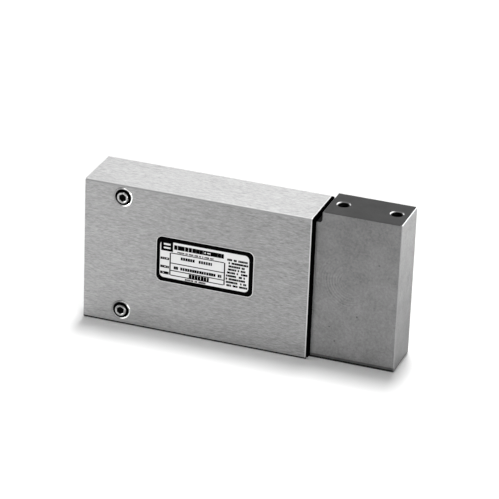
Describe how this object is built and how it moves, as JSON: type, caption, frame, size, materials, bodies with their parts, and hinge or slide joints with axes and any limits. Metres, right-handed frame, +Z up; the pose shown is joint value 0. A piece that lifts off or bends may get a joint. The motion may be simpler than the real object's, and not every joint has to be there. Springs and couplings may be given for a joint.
{
  "type": "single point load cell",
  "caption": "Single point load cell: a machined double bending beam with a raised loading pad, under a folded sheet cover.",
  "frame": {"origin": "middle of the footprint, on the mounting plane under the fixed end", "axes": "+X from the fixed end to the live end, +Y to the rear, +Z up"},
  "size_m": [0.1524, 0.0322, 0.0742],
  "materials": {
    "machined_aluminium": "face milled, fine arcs",
    "brushed_sheet": "brushed along its length",
    "seal_rubber": "matt black",
    "screw_steel": "bright turned",
    "washer_steel": "bright pressed",
    "plate_print": "white with a black border",
    "gauge_foil": "amber film",
    "silicone": "translucent white",
    "lead_jacket": "smooth",
    "board_laminate": "green laminate",
    "spacer_nylon": "natural nylon",
    "resistor_body": "dipped",
    "nickel_brass": "nickel plated"
  },
  "bodies": {
    "root": {"spring_element": "machined_aluminium", "cover": "brushed_sheet", "end_seal": "seal_rubber", "nameplate": "plate_print", "cover_screw_front_upper": "screw_steel", "cup_washer_front_upper": "washer_steel", "sealing_ring_front_upper": "seal_rubber", "cover_screw_front_lower": "screw_steel", "cup_washer_front_lower": "washer_steel", "sealing_ring_front_lower": "seal_rubber", "cover_screw_rear_upper": "screw_steel", "cup_washer_rear_upper": "washer_steel", "sealing_ring_rear_upper": "seal_rubber", "cover_screw_rear_lower": "screw_steel", "cup_washer_rear_lower": "washer_steel", "sealing_ring_rear_lower": "seal_rubber", "strain_gauge_top_fixed": "gauge_foil", "gauge_coating_top_fixed": "silicone", "gauge_lead_top_fixed": "lead_jacket", "strain_gauge_bottom_fixed": "gauge_foil", "gauge_coating_bottom_fixed": "silicone", "gauge_lead_bottom_fixed": "lead_jacket", "strain_gauge_top_live": "gauge_foil", "gauge_coating_top_live": "silicone", "gauge_lead_top_live": "lead_jacket", "strain_gauge_bottom_live": "gauge_foil", "gauge_coating_bottom_live": "silicone", "gauge_lead_bottom_live": "lead_jacket", "terminal_board": "board_laminate", "board_spacer_upper": "spacer_nylon", "board_screw_upper": "screw_steel", "board_spacer_lower": "spacer_nylon", "board_screw_lower": "screw_steel", "span_resistor": "resistor_body", "zero_resistor": "resistor_body", "inlet_body": "nickel_brass", "inlet_nut": "nickel_brass", "inlet_grommet": "seal_rubber"}
  },
  "joints": []
}
